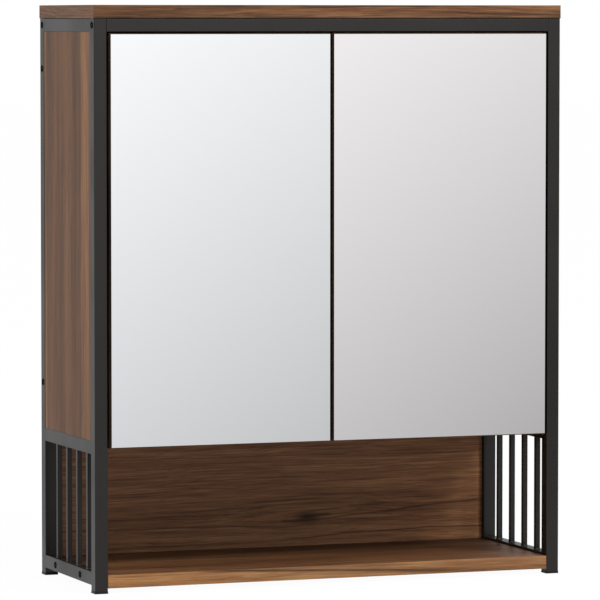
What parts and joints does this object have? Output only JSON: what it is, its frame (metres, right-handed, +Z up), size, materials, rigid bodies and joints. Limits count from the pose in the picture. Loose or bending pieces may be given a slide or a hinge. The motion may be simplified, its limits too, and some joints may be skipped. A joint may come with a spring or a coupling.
{
  "type": "medicine cabinet",
  "caption": "Wall cabinet with two mirror doors on concealed hinges, walnut boards in a square-tube steel frame, and an open shelf with grille sides below.",
  "frame": {"origin": "under the middle of the cabinet, at the height of the feet's soles, half way between the mirror faces and the wall", "axes": "+Z up, -Y towards the front of the doors, +X to the right as seen from the front"},
  "size_m": [0.6012, 0.2196, 0.7],
  "materials": {
    "frame_steel": "satin charcoal powder coat",
    "walnut_board": "matt walnut decor with straight grain",
    "door_board": "matt dark walnut edge",
    "mirror_glass": "polished mirror with ground edges",
    "foot_plastic": "moulded",
    "plated_steel": "nickel plated"
  },
  "bodies": {
    "cabinet": {"left_front_post": "frame_steel", "left_rear_post": "frame_steel", "left_top_rail": "frame_steel", "left_mid_rail": "frame_steel", "left_bottom_rail": "frame_steel", "left_grille_bar_1": "frame_steel", "left_grille_bar_2": "frame_steel", "left_grille_bar_3": "frame_steel", "left_grille_bar_4": "frame_steel", "left_front_post_foot": "foot_plastic", "left_rear_post_foot": "foot_plastic", "left_side_panel": "walnut_board", "left_front_shelf_pin": "plated_steel", "left_rear_shelf_pin": "plated_steel", "left_wall_hanger": "plated_steel", "right_front_post": "frame_steel", "right_rear_post": "frame_steel", "right_top_rail": "frame_steel", "right_mid_rail": "frame_steel", "right_bottom_rail": "frame_steel", "right_grille_bar_1": "frame_steel", "right_grille_bar_2": "frame_steel", "right_grille_bar_3": "frame_steel", "right_grille_bar_4": "frame_steel", "right_front_post_foot": "foot_plastic", "right_rear_post_foot": "foot_plastic", "right_side_panel": "walnut_board", "right_front_shelf_pin": "plated_steel", "right_rear_shelf_pin": "plated_steel", "right_wall_hanger": "plated_steel", "front_top_rail": "frame_steel", "rear_top_rail": "frame_steel", "top_board": "walnut_board", "open_shelf": "walnut_board", "lower_back": "walnut_board", "cabinet_floor": "walnut_board", "upper_back": "walnut_board", "inner_shelf": "walnut_board", "left_upper_hinge_arm": "plated_steel", "left_lower_hinge_arm": "plated_steel", "right_upper_hinge_arm": "plated_steel", "right_lower_hinge_arm": "plated_steel"},
    "left_door": {"left_door_panel": "door_board", "left_mirror": "mirror_glass", "left_upper_hinge_cup": "plated_steel", "left_lower_hinge_cup": "plated_steel"},
    "left_hinge_links": {"left_upper_hinge_link": "plated_steel", "left_lower_hinge_link": "plated_steel"},
    "right_door": {"right_door_panel": "door_board", "right_mirror": "mirror_glass", "right_upper_hinge_cup": "plated_steel", "right_lower_hinge_cup": "plated_steel"},
    "right_hinge_links": {"right_upper_hinge_link": "plated_steel", "right_lower_hinge_link": "plated_steel"}
  },
  "joints": [
    {"name": "left_door_swing", "type": "hinge", "parent": "cabinet", "child": "left_door", "pos_m": [-0.2812, -0.1098, 0.4199], "axis": [0, 0, -1], "range_deg": [0, 95]},
    {"name": "right_door_swing", "type": "hinge", "parent": "cabinet", "child": "right_door", "pos_m": [0.2812, -0.1098, 0.4199], "axis": [0, 0, 1], "range_deg": [0, 95]},
    {"name": "left_link_swing", "type": "hinge", "parent": "cabinet", "child": "left_hinge_links", "pos_m": [-0.2525, -0.0859, 0.42], "axis": [0, 0, -1], "range_deg": [0, 110.3]},
    {"name": "right_link_swing", "type": "hinge", "parent": "cabinet", "child": "right_hinge_links", "pos_m": [0.2525, -0.0859, 0.42], "axis": [0, 0, 1], "range_deg": [0, 110.3]}
  ],
  "couplings": [
    {"joint": "left_link_swing", "follows": "left_door_swing", "ratio": 1.16},
    {"joint": "right_link_swing", "follows": "right_door_swing", "ratio": 1.16}
  ]
}
